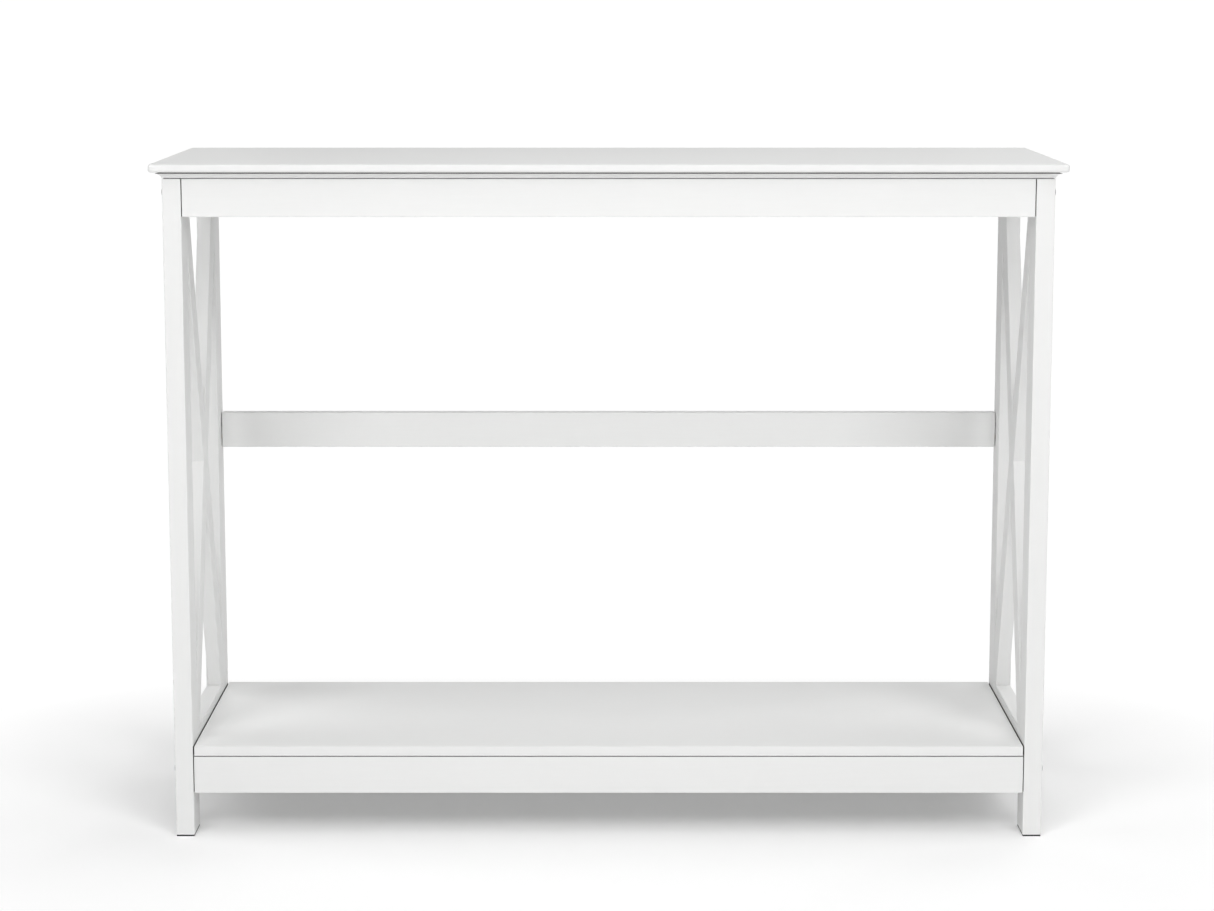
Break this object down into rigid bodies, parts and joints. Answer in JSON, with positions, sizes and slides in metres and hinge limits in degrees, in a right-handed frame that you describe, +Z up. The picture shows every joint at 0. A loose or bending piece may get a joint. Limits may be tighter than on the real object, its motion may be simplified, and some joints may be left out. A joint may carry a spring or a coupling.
{
  "type": "console table",
  "caption": "Narrow white console table with a moulded top, low shelf, back rail and crossed braces in each side frame.",
  "frame": {"origin": "on the floor, under the middle of the table", "axes": "+X to the right as seen from the front, along the table's length; +Y to the back; +Z up"},
  "size_m": [1.003, 0.305, 0.76],
  "materials": {
    "white_lacquered_wood": "satin white lacquer",
    "zinc_plated_steel": "zinc plated",
    "beech_dowel": "bare beech",
    "black_pad": "matt rubber"
  },
  "bodies": {
    "root": {"top_panel": "white_lacquered_wood", "top_moulding_front": "white_lacquered_wood", "top_moulding_back": "white_lacquered_wood", "top_moulding_left": "white_lacquered_wood", "top_moulding_right": "white_lacquered_wood", "shelf_panel": "white_lacquered_wood", "front_leg_left": "white_lacquered_wood", "front_leg_right": "white_lacquered_wood", "back_leg_left": "white_lacquered_wood", "back_leg_right": "white_lacquered_wood", "front_high_brace_left": "white_lacquered_wood", "back_high_brace_left": "white_lacquered_wood", "front_high_brace_right": "white_lacquered_wood", "back_high_brace_right": "white_lacquered_wood", "upper_side_rail_left": "white_lacquered_wood", "upper_side_rail_right": "white_lacquered_wood", "lower_side_rail_left": "white_lacquered_wood", "lower_side_rail_right": "white_lacquered_wood", "upper_apron_front": "white_lacquered_wood", "upper_apron_back": "white_lacquered_wood", "lower_apron_front": "white_lacquered_wood", "lower_apron_back": "white_lacquered_wood", "middle_rail_back": "white_lacquered_wood", "upper_apron_bolts": "zinc_plated_steel", "lower_apron_bolts": "zinc_plated_steel", "middle_rail_bolts": "zinc_plated_steel", "upper_apron_barrel_nuts": "zinc_plated_steel", "lower_apron_barrel_nuts": "zinc_plated_steel", "middle_rail_barrel_nuts": "zinc_plated_steel", "top_brackets": "zinc_plated_steel", "top_bracket_screws": "zinc_plated_steel", "shelf_brackets": "zinc_plated_steel", "shelf_bracket_screws": "zinc_plated_steel", "upper_apron_dowels": "beech_dowel", "lower_apron_dowels": "beech_dowel", "middle_rail_dowels": "beech_dowel", "upper_side_rail_dowels": "beech_dowel", "lower_side_rail_dowels": "beech_dowel", "brace_dowels": "beech_dowel", "foot_pad_front_left": "black_pad", "foot_pad_front_right": "black_pad", "foot_pad_back_left": "black_pad", "foot_pad_back_right": "black_pad"}
  },
  "joints": []
}
